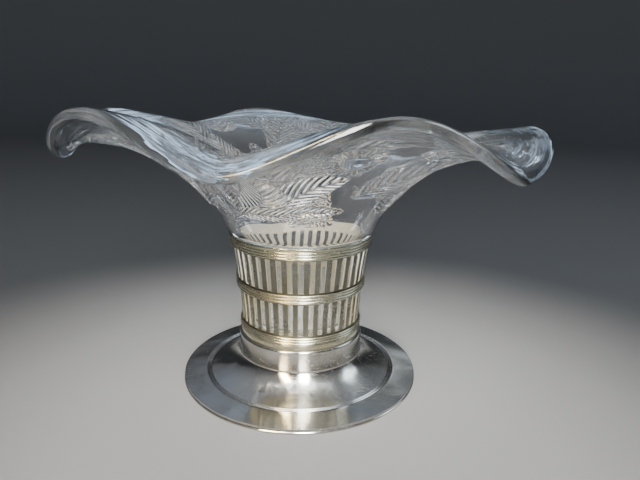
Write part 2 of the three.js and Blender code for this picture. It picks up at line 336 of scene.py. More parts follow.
# Noises are given as scale and detail, bumps as strength and depth in metres
clear = {
    "clear": (0.985, 0.99, 1.0, 1), "stem": (0.97, 0.955, 0.87, 1), "paintedBlueSheen": (0.84, 0.92, 1.0, 1),
    "bending": 1.47, "shine": 0.3, "polish": 0.015, "frost": 0.06, "etched": 0.3,
    "uneven": (240.0, 1.0), "ripple": (26.0, 2.0), "streaks": (1.0, 2.0), "cells": 620.0,
    "drawnAround": 3.0, "drawnUp": 34.0,
    "barbSize": (0.3, 0.7, 0.5, 1.5), "ridge": (0.15, 0.42, 0.0, 0.95), "pits": (0.35, 0.6, 0.0, 0.07),
    "drawnBump": (0.8, 0.0006), "rippleBump": (0.5, 0.0008), "barbBump": (1.0, 0.0045),
    "pitBump": (0.8, 0.0008),
}


# Clear pressed glass. Its barbs are a triangle wave of barbPhase where barbMask allows it, frosted along
# their ridges, more so on a few feathers as painted glints, and the ground between them is stippled. Plain
# glass is gently wavy, with streaks where it was drawn out by hand, and scatters as much light as haze says.
def clearGlass():
    material, tree, shader, place = newMaterial("clearGlass")
    names = ("barbPhase", "barbMask", "stipple", "haze", "stem", "frostingAndPaintedGlint", "paintedBlueSheen", "rimward", "drawn")
    phase, mask, ground, haze, stem, frostingAndPaintedGlint, paintedBlueSheen, rimward, drawn = (
        attribute(tree, name) for name in names)
    wave = maths(tree, "PINGPONG", phase, 0.5)
    size = between(tree, noise(tree, place, *clear["uneven"]), *clear["barbSize"])
    barbs = times(tree, wave, mask, size)
    # Frosted ridges: partly frost, partly painted glints where the whiteness is raised
    ridge = times(tree, between(tree, wave, *clear["ridge"]), frostingAndPaintedGlint)
    cells = addNode(tree, "TexVoronoi", {"Vector": place, "Scale": clear["cells"]})
    distance = cells.outputs["Distance"]
    dots = times(tree, distance, ground)
    pits = times(tree, between(tree, distance, *clear["pits"]), ground)
    tone = mixColour(tree, stem, clear["clear"], clear["stem"])
    cloudy = plus(tree, haze, maths(tree, "MAXIMUM", ridge, pits))
    frost = times(tree, maths(tree, "MAXIMUM", mask, ground), clear["frost"])
    etched = plus(tree, frost, times(tree, ridge, clear["etched"]))
    x, y, _ = separate(tree, place)
    outward = vectorMaths(tree, "NORMALIZE", combine(tree, X=x, Y=y))
    upward = combine(tree, Z=times(tree, rimward, clear["drawnUp"]))
    along = vectorMaths(tree, "MULTIPLY_ADD", outward, (clear["drawnAround"],) * 3, upward)
    streaks = times(tree, noise(tree, along, *clear["streaks"]), drawn)
    pulled = bump(tree, streaks, *clear["drawnBump"])
    wavy = bump(tree, noise(tree, place, *clear["ripple"]), *clear["rippleBump"], pulled)
    pressed = bump(tree, barbs, *clear["barbBump"], wavy)
    # The inside of the flare is tinted blue towards the rim: a painted sheen
    feed(tree, shader, {
        "Base Color": mixColour(tree, paintedBlueSheen, tone, clear["paintedBlueSheen"]),
        "IOR": clear["bending"], "Specular IOR Level": clear["shine"],
        "Transmission Weight": maths(tree, "SUBTRACT", 1.0, cloudy),
        "Roughness": plus(tree, etched, clear["polish"]),
        "Normal": bump(tree, dots, *clear["pitBump"], pressed)})
    return material


footSilver, gallerySilverWithPaintedShade, reedSilver = map(silverPlate, ("footSilver", "gallerySilverWithPaintedShade", "reedSilver"))
steel = dullSteel()
glass = clearGlass()
print("materials made")

# Spun foot: flat ring, two turned grooves, concave sweep, upright collar and flat top, one sheet thick
foot = {
    "edge": (60.5, 2.7), "ring": (49.2, 4.1), "grooveWidth": 1.3, "grooveDepth": 0.4, "sweep": (34.7, 7.25),
    "collarFoot": (31.7, 14.0), "collar": ((31.7, 15.0), (31.7, 23.4)), "shoulder": 1.1, "crownRadius": 30.6,
    "crownEdge": 1.0, "bore": 2.7, "sheet": 1.0, "grooveFloor": 3.6, "dirtAndShade": 0.55, "cornerDirtAndShade": 0.5,
    "steps": 288,
}


# One groove of the ring: one wave of the cosine, deepest at its middle
def grooveLine(start):
    share = np.linspace(0, 1, 9)[1:]
    depth = foot["grooveDepth"] * (1 - np.cos(2 * np.pi * share)) / 2
    return np.stack([start - foot["grooveWidth"] * share, foot["ring"][1] - depth], -1)


# Moves a line of points to its left by a thickness along the mitred normal of each point
def offsetLeft(points, thickness):
    step = np.diff(points, axis=0)
    step /= np.linalg.norm(step, axis=1)[:, None]
    before = np.vstack([step[:1], step])
    after = np.vstack([step, step[-1:]])
    along = before + after
    along /= np.linalg.norm(along, axis=1)[:, None]
    reach = thickness / (along * after).sum(1)[:, None]
    return points + np.stack([-along[:, 1], along[:, 0]], -1) * reach


# The outline goes in along the top and back along the underside. The grooves, the corner at the top of the
# shoulder where the moulding stands, and the whole underside are darkened: partly dirt, partly painted shade.
def makeFoot():
    start, ringHeight = foot["ring"]
    top, crownRadius = common["crown"], foot["crownRadius"]
    sweepStart = start - 2 * foot["grooveWidth"]
    edge = line(foot["edge"], foot["ring"], 12)
    sweep = bend((sweepStart, ringHeight), foot["sweep"], foot["collarFoot"], 26)
    shoulder = arc((crownRadius, top - foot["shoulder"]), foot["shoulder"], 0, 90, 8)
    collar = line(*foot["collar"], 7)
    crown = line((crownRadius - foot["crownEdge"], top), (foot["bore"], top), 6)
    grooves = np.vstack([grooveLine(start), grooveLine(start - foot["grooveWidth"])])
    under = offsetLeft(np.vstack([edge, sweep, collar, shoulder, crown]), foot["sheet"])[::-1]
    outline = np.vstack([edge, grooves, sweep[1:], collar, shoulder, crown, under])
    dirtAndShade = np.zeros(len(outline))
    radius, height = outline.T
    valley = (ringHeight - height) / foot["grooveDepth"]
    inGrooves = (radius > sweepStart) & (radius < start) & (height > foot["grooveFloor"])
    dirtAndShade[inGrooves] = np.clip(valley[inGrooves], 0, 1) * foot["dirtAndShade"]
    shown = len(outline) - len(under)
    away = np.hypot(radius - crownRadius, height - top)
    corner = np.exp(-(away**2) / foot["cornerDirtAndShade"])
    dirtAndShade[:shown] = np.maximum(dirtAndShade[:shown], corner[:shown])
    dirtAndShade[shown:] = foot["dirtAndShade"]
    makeTurned("spunFoot", outline, foot["steps"], footSilver, "spun_foot", dirtAndShade)


makeFoot()

# Round wire under the foot's edge
edgeWire = {"radius": 60.8, "wire": 0.7, "steps": 288, "sides": 16}


def makeEdgeWire():
    sides = np.arange(edgeWire["sides"]) / edgeWire["sides"] * 2 * np.pi
    wire = edgeWire["wire"]
    centre = edgeWire["radius"] - wire
    outline = np.stack([centre + wire * np.cos(sides), wire * (1 + np.sin(sides))], -1)
    makeTurned("edgeWire", outline, edgeWire["steps"], footSilver, "foot_edge_wire")


makeEdgeWire()
print("foot made")

# Pierced gallery: two rows of slots cut through a flaring tube
gallery = {
    "slots": 40, "splits": 4, "lowSlot": (32.6, 48.6), "highSlot": (54.7, 70.7),
    "rows": (4, 8, 4, 10, 4),  # rows of faces below, in and between the slots, in the upper ones, and above
    "unevenAngle": 0.22, "unevenTop": 0.6, "unevenHeight": 0.12, "seed": 7, "rounding": 0.13,
    # bands beside the mouldings are darkened, partly dirt and partly painted shade; the bore's grime only
    # makes it rougher
    "dirtAndShade": 0.4, "dirtAndShadeBeyond": 0.6, "dirtAndShadeWidth": 0.9, "boreDirt": 0.05,
}


# Outer and inner faces of the solid cells of a grid, and walls where the next cell is open
def cellFaces(solid, inner):
    a = np.arange(solid.size).reshape(solid.shape)
    b = np.roll(a, -1, 1)
    c, d = b + solid.shape[1], a + solid.shape[1]
    a2, b2, c2, d2 = (corner + inner for corner in (a, b, c, d))
    framed = np.pad(solid, ((1, 1), (0, 0)))
    sides = [
        ((a, b, c, d), solid), ((d2, c2, b2, a2), solid),
        ((b, b2, c2, c), solid & ~np.roll(solid, -1, 1)), ((a, d, d2, a2), solid & ~np.roll(solid, 1, 1)),
        ((a, a2, b2, b), solid & ~framed[:-2]), ((d, c, c2, d2), solid & ~framed[2:])]
    return np.vstack([np.stack(corners, -1)[shown] for corners, shown in sides])


# The wall is a grid of angle and height. Slot edges stand at odd multiples of half the pitch of the edges,
# each shifted a little. A cell is solid unless it is in a slot.
def makeGallery():
    random = np.random.default_rng(gallery["seed"])
    splits = gallery["splits"]
    edges = gallery["slots"] * 2
    columns = edges * splits
    pitch = 360 / edges
    low, high = gallery["lowSlot"], gallery["highSlot"]
    ends = (common["crown"], *low, *high, galleryTop)
    levels = np.concatenate([[ends[0]]] + [
        line(start, end, rows + 1)[1:] for start, end, rows in zip(ends, ends[1:], gallery["rows"])])
    openRow = np.repeat([False, True, False, True, False], gallery["rows"])
    share = (np.arange(columns) % splits) / splits
    shiftFoot = random.uniform(-1, 1, edges) * gallery["unevenAngle"]
    shiftTop = shiftFoot + random.uniform(-1, 1, edges) * gallery["unevenAngle"] * gallery["unevenTop"]
    edge = np.arange(columns) // splits
    following = (edge + 1) % edges
    height = (levels[:, None] - common["crown"]) / common["galleryHeight"]
    shift = shiftFoot + (shiftTop - shiftFoot) * height
    angle = np.radians(
        (edge + 0.5 + share) * pitch + shift[:, edge] * (1 - share) + shift[:, following] * share)
    radius = np.stack([galleryRadius(levels), galleryRadius(levels) - common["wall"]])[:, :, None]
    tilt = np.zeros((len(levels), columns))
    for stop in np.cumsum(gallery["rows"])[:4]:
        uneven = np.repeat(random.uniform(-1, 1, edges), splits) * gallery["unevenHeight"]
        tilt[stop] = np.where(edge % 2 == 1, uneven, 0) * (share > 0)
    upright = np.repeat((levels[:, None] + tilt)[None], 2, 0)
    points = np.stack([radius * np.sin(angle), -radius * np.cos(angle), upright], -1).reshape(-1, 3)
    solid = ~(openRow[:, None] & (edge % 2 == 1)[None, :])
    inner = len(levels) * columns
    used, faces = np.unique(cellFaces(solid, inner), return_inverse=True)
    inBore = np.arange(len(points)) >= inner
    # Darker bands just beyond the ends of each slot row, beside the mouldings: partly dirt, partly painted
    # shade
    beyond = np.array([-1, 1, -1, 1]) * gallery["dirtAndShadeBeyond"] + (*low, *high)
    nearBand = np.abs(points[:, 2:] - beyond).min(1)
    grimeAndShade = np.where(inBore, gallery["boreDirt"], 0.0)
    grimeAndShade = np.maximum(grimeAndShade, np.clip(1 - nearBand / gallery["dirtAndShadeWidth"], 0, 1) * gallery["dirtAndShade"])[used]
    piece = makePiece("galleryWall", points[used], faces.reshape(-1, 4).tolist(), gallerySilverWithPaintedShade, "holder",
                      "gallery_sleeve", marks={"grimeAndShade": grimeAndShade, "unpolishedBoreWithPaintedLight": inBore[used]})
    rounding = piece.modifiers.new("edges", "BEVEL")
    rounding.width = gallery["rounding"] * mm
    rounding.segments = 2
    rounding.limit_method = "ANGLE"
    rounding.angle_limit = math.radians(40)


makeGallery()

# Reeded mouldings soldered round the gallery
reeded = {
    # darkening in the reeds' valleys, on the backs against the wall and where the plain band meets the foot
    # is partly dirt, partly painted shade
    "stand": 0.4, "bulge": 0.55, "count": 3, "steps": 240, "points": 10, "dirtAndShadePower": 1.5, "backDirtAndShade": 0.5,
    "lower": {"plain": 2.7, "plainDirtAndShade": (0.7, 0.15, 0.05, 0.3), "start": 2.9, "reeds": 3.9},
    "middle": {"start": 0.8, "reeds": 4.5},
    "rim": {
        "below": 1.7, "reeds": 4.1, "lip": 1.1, "lipFoot": 0.85, "lipBend": (0.1, 1.5), "lipRound": 0.42,
        "mouthRound": 0.25, "wallCover": 0.4},
}


# Half-round reeds: the radius is the gallery's plus the gap, a stand and a bulge that follows the
# square root of a sine across each reed. Gives the points and how deep each lies between reeds, which
# darkens the valleys: partly dirt, partly painted shade.
def reedLine(base, height):
    count = reeded["points"]
    share = (1 - np.cos(np.pi * np.arange(count) / count)) / 2
    level = base + (np.arange(reeded["count"])[:, None] + share).ravel() * height / reeded["count"]
    bulge = np.tile(np.sqrt(np.sin(np.pi * share)), reeded["count"])
    level = np.append(level, base + height)
    bulge = np.append(bulge, 0.0)
    radius = galleryRadius(level) + common["gap"] + reeded["stand"] + bulge * reeded["bulge"]
    return np.stack([radius, level], -1), (1 - bulge) ** reeded["dirtAndShadePower"]


# Back of a moulding, a gap away from the gallery's wall, from its top down, with its darkening, partly dirt
# and partly painted shade
def besideWall(high, low, count):
    level = np.linspace(high, low, count)
    return np.stack([galleryRadius(level) + common["gap"], level], -1), reeded["backDirtAndShade"]


# Turned from runs of points, each with its darkening, partly dirt and partly painted shade
def makeMoulding(name, node, *runs):
    outline = np.vstack([run for run, _ in runs])
    dirtAndShade = np.concatenate([np.full(len(run), values) for run, values in runs])
    makeTurned(name, outline, reeded["steps"], reedSilver, node, dirtAndShade)


def makeMouldings():
    base, part = common["crown"], reeded["lower"]
    stand = galleryRadius(base) + common["gap"] + reeded["stand"]
    plain = line((stand, base), (stand, base + part["plain"]), 4)
    reeds = reedLine(base + part["start"], part["reeds"])
    makeMoulding("lowerReeds", "lower_moulding", (plain, part["plainDirtAndShade"]), reeds,
                 besideWall(base + part["start"] + part["reeds"], base, 6))
    part = reeded["middle"]
    base = gallery["lowSlot"][1] + part["start"]
    makeMoulding("middleReeds", "middle_moulding", reedLine(base, part["reeds"]),
                 besideWall(base + part["reeds"], base, 5))
    part = reeded["rim"]
    base = rimTop - part["below"] - part["reeds"]
    reeds = reedLine(base, part["reeds"])
    wall, gap = common["mouthRadius"], common["gap"]
    lip, mouth = wall + part["lip"], wall - common["wall"]
    outer, inner = part["lipRound"], part["mouthRound"]
    out, down = part["lipBend"]
    edge = np.vstack([
        bend(reeds[0][-1], (lip - out, rimTop - down), (lip, rimTop - part["lipFoot"]), 5)[1:],
        arc((lip - outer, rimTop - outer), outer, 0, 90, 7),
        arc((mouth + inner, rimTop - inner), inner, 90, 180, 5),
        [(mouth, galleryTop + gap), (wall + gap, galleryTop + gap)]])
    makeMoulding("rimReeds", "rim_moulding", reeds, (edge, 0.0),
                 besideWall(galleryTop - part["wallCover"], base, 5))


makeMouldings()
print("gallery made")

# Seat plate in the gallery's foot
# The plate is darkened all over: partly dirt, partly painted shade under the glass inside the gallery
plate = {"radius": 28.7, "top": 26.2, "edge": 0.2, "flat": 2.0, "middle": 4.0, "dirtAndShade": 0.3, "steps": 144}


def makeSeatPlate():
    top, base, edge, middle = plate["top"], common["crown"], plate["edge"], plate["middle"]
    side = plate["radius"] - edge
    outline = np.vstack([
        [(0, base)], line((middle, base), (side, base), 6), arc((side, base + edge), edge, -90, 0, 4),
        arc((side, top - edge), edge, 0, 90, 4),
        line((plate["radius"] - plate["flat"], top), (middle, top), 6), [(0, top)]])
    makeTurned("seatPlate", outline, plate["steps"], footSilver, "seat_plate", plate["dirtAndShade"])


# Stud under the plate. Tip and head are its rings beyond the thread: how much narrower each is than the
# thread's core, and how far it stands from the stud's end.
stud = {
    "radius": 2.4, "foot": 16.6, "pitch": 0.9, "depth": 0.22, "plainEnds": (0.5, 0.3), "rows": 100,
    "steps": 48, "tip": ((0.5, 0.0), (0.2, 0.3)), "head": ((0.0, -0.1), (0.2, 0.0)),
}


# The radius falls and rises once per pitch, and the thread climbs one pitch per turn
def makeStud():
    steps, low, high = stud["steps"], stud["foot"], common["crown"]
    level = np.linspace(low + stud["plainEnds"][0], high - stud["plainEnds"][1], stud["rows"])
    saw = np.abs(((level[:, None] / stud["pitch"] - np.arange(steps) / steps) % 1) * 2 - 1)
    core = stud["radius"] - stud["depth"]
    tip, head = np.array(stud["tip"]), np.array(stud["head"])
    thread = stud["radius"] - stud["depth"] * saw
    first, last = (np.repeat(core - rings[:, :1], steps, 1) for rings in (tip, head))
    radius = np.vstack([first, thread, last])
    height = np.concatenate([low + tip[:, 1], level, high + head[:, 1]])
    points, faces = aroundAxis(radius, np.repeat(height[:, None], steps, 1), (low, high))
    makePiece("galleryStud", points, faces, steel, "holder", "gallery_stud")


washer = {"radius": 9.0, "bore": 2.7, "levels": (22.6, 24.0), "edge": 0.3, "boreEdge": 0.15, "steps": 96}


def makeWasher():
    low, high = washer["levels"]
    edge, cut = washer["edge"], washer["boreEdge"]
    outer, inner = washer["radius"] - edge, washer["bore"] + cut
    outline = np.vstack([
        arc((outer, low + edge), edge, -90, 0, 5), arc((outer, high - edge), edge, 0, 90, 5),
        arc((inner, high - cut), cut, 90, 180, 4), arc((inner, low + cut), cut, 180, 270, 4)])
    makeTurned("footWasher", outline, washer["steps"], steel, "foot_washer")


nut = {
    "reach": 4.4, "corner": 1.04, "bore": 2.7, "levels": (18.6, 22.6), "edge": 0.45, "boreEdge": 0.35,
    "steps": 96,
}


# Hexagon nut: the flats' distance from the axis is the reach over the cosine of the angle from each
# flat's middle, cut to a circle at the faces by the chamfer.
def makeNut():
    low, high = nut["levels"]
    edge, cut = nut["edge"], nut["boreEdge"]
    angle = np.arange(nut["steps"]) / nut["steps"] * 360
    flat = nut["reach"] / np.cos(np.radians((angle + 30) % 60 - 30))
    chamfer = np.minimum(flat, nut["reach"] * nut["corner"])
    bore = np.full(nut["steps"], nut["bore"])
    rows = [
        (chamfer, low), (flat, low + edge), (flat, high - edge), (chamfer, high),
        (bore + cut, high), (bore, high - cut), (bore, low + cut), (bore + cut, low)]
    radius, height = zip(*rows)
    points, faces = aroundAxis(np.stack(radius), np.repeat(np.array(height)[:, None], nut["steps"], 1))
    makePiece("footNut", points, faces, steel, "holder", "foot_nut")


makeSeatPlate()
makeStud()
makeWasher()
makeNut()
print("fastening made")

# Glass bowl with a hollow stem. Ruffles: angle, reach as a share of the radius, height as a share of
# the ruffle depth, slope of the lip in degrees, and the length of the lip as a share of the radius.
bowl = {
    "stemGap": 1.1, "stemWall": 3.2, "floor": 6.0, "footEdge": 0.9, "footRing": 0.35, "stemEnds": (3.0, 0.5),
    "neck": (34.6, 78.8), "neckSlope": 70.0, "flareLength": 33.0, "wall": 4.2, "rimWall": 4.8,
    "radius": 110.0, "dipHeight": rimTop + 37.7, "ruffleDepth": 22.0, "crestBreadth": 1.6,
    "insideEnds": (2.0, 3.0), "floorRound": 2.2, "floorRings": (0.8, 0.3),
    "steps": 320, "fineSteps": 640, "fineRows": 108, "neckShares": (0.0, 0.018), "pressed": (0.035, 0.86),
    "haze": {"stem": 0.15, "stemTop": 0.03, "inside": 0.05, "bore": 0.02},
    # height at which the stem's haze fades, and shares of the flare at which each other tone sets in
    "stemFade": (60.0, 50.0), "insideFade": (0.25, 0.7), "rimFade": (0.9, 1.0),
    "paintedSheenFade": (0.3, 0.75), "drawn": {"outside": 0.9, "inside": 0.35, "rim": 1.02, "fade": (0.55, 0.85)},
    "rimEnd": 1.05, "belowEnd": 0.03,
    "ruffles": np.array([
        (-13, 0.995, 0.27, -45, 0.145), (16, 0.982, 1, 8, 0.29), (47, 1, 0.05, -60, 0.236),
        (86, 1.001, 0.59, 8, 0.273), (113, 1, 0, -50, 0.2), (136, 1, 0.27, 8, 0.273),
        (162, 1, 0, -50, 0.2), (196, 0.988, 0.64, 8, 0.273), (222, 1, 0.05, -50, 0.2),
        (250, 0.991, 0.73, 8, 0.273), (274, 1.002, 0, -60, 0.218), (318, 0.973, 1, 8, 0.29)]),
}


# Rim of the bowl: between a dip and a crest all values follow a sine raised to the crest breadth
def rimAt(angle):
    rows = np.vstack([bowl["ruffles"], bowl["ruffles"][:1] + [360, 0, 0, 0, 0]])
    first = rows[0, 0]
    turn = first + (angle - first) % 360
    index = np.clip(np.searchsorted(rows[:, 0], turn, side="right") - 1, 0, len(rows) - 2)
    near, far = rows[index], rows[index + 1]
    share = (turn - near[:, 0]) / (far[:, 0] - near[:, 0])
    rising = far[:, 2] > near[:, 2]
    ease = np.sin(np.pi / 2 * np.where(rising, share, 1 - share)) ** bowl["crestBreadth"]
    mix = np.where(rising, ease, 1 - ease)[:, None]
    _, reach, height, slope, lip = (near + (far - near) * mix).T
    rise = bowl["dipHeight"] + bowl["ruffleDepth"] * height
    return bowl["radius"] * reach, rise, np.radians(slope), bowl["radius"] * lip


# Middle line of the flare: a cubic curve from the neck to the rim at every angle, with its direction
def flareLine(angle, share):
    rimRadius, rimHeight, slope, lip = rimAt(angle)
    rise = math.radians(bowl["neckSlope"])
    neck = np.array(bowl["neck"])[:, None]
    corners = [
        neck, neck + bowl["flareLength"] * np.array([[math.cos(rise)], [math.sin(rise)]]),
        np.stack([rimRadius - lip * np.cos(slope), rimHeight - lip * np.sin(slope)]),
        np.stack([rimRadius, rimHeight])]
    s = share[:, None, None]
    place = ((1 - s) ** 3 * corners[0] + 3 * (1 - s) ** 2 * s * corners[1]
             + 3 * (1 - s) * s**2 * corners[2] + s**3 * corners[3])
    along = ((1 - s) ** 2 * (corners[1] - corners[0]) + 2 * (1 - s) * s * (corners[2] - corners[1])
             + s**2 * (corners[3] - corners[2]))
    along /= np.linalg.norm(along, axis=1)[:, None, :]
    return place, along


pattern = {
    "sectors": 3, "turn": -8.0, "firstLevel": 0.1, "start": (0.31, 0.37), "end": (0.84, 0.74),
    "pressed": 0.5, "barbs": 0.26, "quill": 0.5, "hollow": 0.5, "covered": 0.02, "bladePowers": (0.75, 0.7),
    "leastWidth": 0.004, "barbSweep": 0.35, "barbPoint": 0.22, "bladeEdge": (1.0, 0.9),
    "quillStart": (0.0, 0.04), "quillEnd": (1.0, 0.97), "quillWidth": 0.011,
    "petalWaist": 0.78, "petalPower": 0.5, "petalEdge": (1.0, 0.88), "petalBarbs": 3, "petalDome": (1.2, 0.6),
    "heart": 0.35, "heartEdge": (0.56, 0.48),
    "stippleGap": (0.0, 0.15), "patch": (0.1, 0.8), "patchSlope": 0.5, "patchTurn": 0.4,
    "feathers": [
        # start, direction, length, arch, widths, pitch, slant and whiteness: the frost of the barbs, raised
        # on a few feathers as painted glints
        ((-0.92, 1.12), 60, 0.56, -0.06, (0.13, 0.13), 0.054, 0.9, 0.15),
        ((-0.30, 1.14), 95, 0.50, -0.06, (0.13, 0.12), 0.054, 0.9, 0.15),
        ((-0.62, 1.18), 40, 0.50, 0.05, (0.12, 0.12), 0.054, 0.9, 0.15),
        ((0.30, 1.32), 30, 0.52, -0.05, (0.13, 0.12), 0.054, 0.9, 0.15),
        ((0.76, 1.20), 48, 0.56, 0.06, (0.14, 0.12), 0.054, 0.9, 0.15),
        ((-0.98, 0.42), 62, 0.84, 0.10, (0.14, 0.17), 0.058, 0.8, 0.1),
        ((1.00, 0.42), 116, 0.66, -0.10, (0.12, 0.15), 0.056, 0.8, 0.1),
        ((0.68, 0.76), 20, 0.62, -0.08, (0.14, 0.12), 0.052, 0.9, 0.2),
        ((0.56, 0.68), 58, 0.95, -0.12, (0.17, 0.19), 0.060, 0.9, 0.2),
        ((-0.62, 0.88), 100, 0.62, 0.10, (0.13, 0.13), 0.052, 0.8, 0.15),
        ((0.00, 1.02), 80, 0.58, 0.12, (0.15, 0.13), 0.058, 0.9, 0.4),
        ((-0.09, 0.60), 33, 0.64, 0.06, (0.20, 0.16), 0.070, 1.1, 1.0),
        ((-0.42, 0.45), 67, 0.74, -0.20, (0.21, 0.21), 0.058, 0.8, 0.5),
        ((-0.50, 0.50), 80, 0.46, 0.03, (0.09, 0.09), 0.048, 0.8, 0.15),
        ((-0.52, 0.44), 4, 1.05, 0.05, (0.10, 0.12), 0.068, 1.3, 0.75),
    ],
    # centre, size, petals and whiteness
    "rosettes": [((0.42, 1.14), 0.17, 9, 0.25), ((-0.70, 0.62), 0.10, 7, 0.2)],
}


# Feather with a quill arched like half a sine. The barbs' phase is the distance along the quill less the
# slant times the distance across it, and the half-width follows a sine of the share along the quill.
# Gives the cover, the phase, the quill and the height, which falls as the square of the reach.
def feather(x, y, start, direction, length, arch, widths, pitch, slant):
    dx, dy = x - start[0], y - start[1]
    cosine, sine = math.cos(math.radians(direction)), math.sin(math.radians(direction))
    ahead = dx * cosine + dy * sine
    across = -dx * sine + dy * cosine
    share = np.clip(ahead / length, 0, 1)
    across = across - arch * length * np.sin(np.pi * share)
    along, swell = pattern["bladePowers"]
    width = np.where(across > 0, *widths) * np.sin(np.pi * share**along) ** swell + pattern["leastWidth"]
    reach = np.abs(across) / width
    phase = (ahead - slant * np.abs(across) * (1 + pattern["barbSweep"] * reach)) / pitch
    point = np.abs((phase % 1) * 2 - 1)
    ends = smooth(*pattern["quillStart"], share) * smooth(*pattern["quillEnd"], share)
    cover = smooth(*pattern["bladeEdge"], reach + pattern["barbPoint"] * point) * ends
    quill = np.exp(-((across / pattern["quillWidth"]) ** 2)) * ends
    height = cover * pattern["pressed"] * (1 - pattern["hollow"] * reach**2) + quill * pattern["quill"]
    return cover, phase, quill, np.maximum(height, 0)


# Rosette: a domed centre with petals round it, whose edge follows a cosine of the angle. Gives the cover,
# the phase, the centre and the height.
def rosette(x, y, centre, size, petals):
    dx, dy = x - centre[0], y - centre[1]
    distance = np.hypot(dx, dy) / size
    around = np.arctan2(dy, dx)
    waist = pattern["petalWaist"]
    edge = waist + (1 - waist) * np.abs(np.cos(petals / 2 * around)) ** pattern["petalPower"]
    cover = smooth(*pattern["petalEdge"], distance / edge)
    phase = around / (2 * np.pi) * petals * pattern["petalBarbs"]
    heart = smooth(*pattern["heartEdge"], distance)
    top, fall = pattern["petalDome"]
    height = cover * pattern["pressed"] * (top - fall * distance) + heart * pattern["heart"]
    return cover, phase, heart, height


# Relief of the pressed pattern at an angle and a conformal height, later forms over earlier ones: height,
# barb phase, barb mask, stipple in patches that follow a sine, and whiteness, which is frost, raised on a few
# feathers as painted glints
def pressedPattern(angle, rise, share):
    sector = 2 * np.pi / pattern["sectors"]
    x = (np.radians(angle) - math.radians(pattern["turn"]) + sector / 2) % sector - sector / 2
    height, phase, mask, cover, white = (np.zeros_like(rise) for _ in range(5))
    forms = [(feather, *row) for row in pattern["feathers"]]
    forms += [(rosette, *row) for row in pattern["rosettes"]]
    for shape, *values, frostAndPaintedGlint in forms:
        for side in (-sector, 0, sector):
            blade, barb, core, cushion = shape(x - side, rise, *values)
            over = blade > pattern["covered"]
            phase = np.where(over, barb, phase)
            mask = np.where(over, blade * (1 - core), mask)
            height = np.where(over, cushion, height)
            white = np.where(over, frostAndPaintedGlint, white)
            cover = np.maximum(cover, blade)
    fade = smooth(*pattern["end"], share) * smooth(*pattern["start"], rise)
    wave = np.sin(2 * np.pi * (2 * x + pattern["patchSlope"] * rise) / sector - pattern["patchTurn"])
    stipple = (1 - smooth(*pattern["stippleGap"], cover)) * smooth(*pattern["patch"], wave) * fade
    height = (height + pattern["barbs"] * np.cos(2 * np.pi * phase) * -mask) * fade
    return height, phase, mask * fade, stipple, white * mask * fade


# Faces that join a coarse ring to a fine one, each with one coarse edge and several fine ones
def seamFaces(coarseFirst, coarse, fineFirst, fine, coarseBelow):
    ratio = fine // coarse
    column = np.arange(coarse)
    ends = np.stack([coarseFirst + column, coarseFirst + (column + 1) % coarse], -1)
    fineRow = fineFirst + (column[:, None] * ratio + np.arange(ratio, -1, -1)[None, :]) % fine
    faces = np.hstack([ends, fineRow])
    return (faces if coarseBelow else faces[:, ::-1]).tolist()


# Wall of the flare on one side of its middle line: half the wall's thickness along the line's normal
def flareSide(angle, share, side):
    place, along = flareLine(angle, share)
    half = ((bowl["wall"] + (bowl["rimWall"] - bowl["wall"]) * share) / 2)[:, None, None]
    normal = np.stack([along[:, 1], -along[:, 0]], 1)
    return place + normal * half * side, normal


# Outline of radius and height, the same at every coarse angle
def spread(outline):
    return np.repeat(outline[:, :, None], bowl["steps"], 2)


# Rounded rim: half a circle from the outside of the flare's end over to its inside
def rimRound(angle):
    place, along = flareLine(angle, np.array([1.0]))
    turn = np.radians(np.linspace(0, 180, 12)[1:-1])[:, None, None]
    normal = np.stack([along[:, 1], -along[:, 0]], 1)
    return place + bowl["rimWall"] / 2 * (np.cos(turn) * normal + np.sin(turn) * along)


# Numbers for each ring of the glass: haze, stem, place on the way over the rim, how far it was drawn out by
# hand, and a painted blue sheen on the inside of the flare. Rows counts the rings from part to part.
def bowlMarks(rows, levels, share, lipShare, inShare):
    hazes, drawn = bowl["haze"], bowl["drawn"]
    stemHaze = hazes["stemTop"] + (hazes["stem"] - hazes["stemTop"]) * smooth(*bowl["stemFade"], levels)
    inHaze = hazes["inside"] * smooth(*bowl["insideFade"], inShare)
    inHaze -= inHaze * smooth(*bowl["rimFade"], inShare)
    haze = np.concatenate([stemHaze, np.zeros(sum(rows[1:4])), inHaze, np.full(rows[5], hazes["bore"])])
    end = bowl["rimEnd"]
    rimward = np.concatenate([
        np.linspace(0, bowl["belowEnd"], rows[0] + rows[1] - len(share)), share, lipShare,
        np.linspace(1, end, rows[3]), 1 + end - inShare, np.full(rows[5], 1 + end)])
    near = smooth(*drawn["fade"], 1 - np.abs(rimward - drawn["rim"]))
    return {
        "haze": haze, "stem": np.ones(rows[0]), "rimward": rimward,
        "drawn": near * np.where(rimward < drawn["rim"], drawn["outside"], drawn["inside"]),
        "paintedBlueSheen": np.concatenate([np.zeros(sum(rows[:4])), smooth(*bowl["paintedSheenFade"], inShare)])}


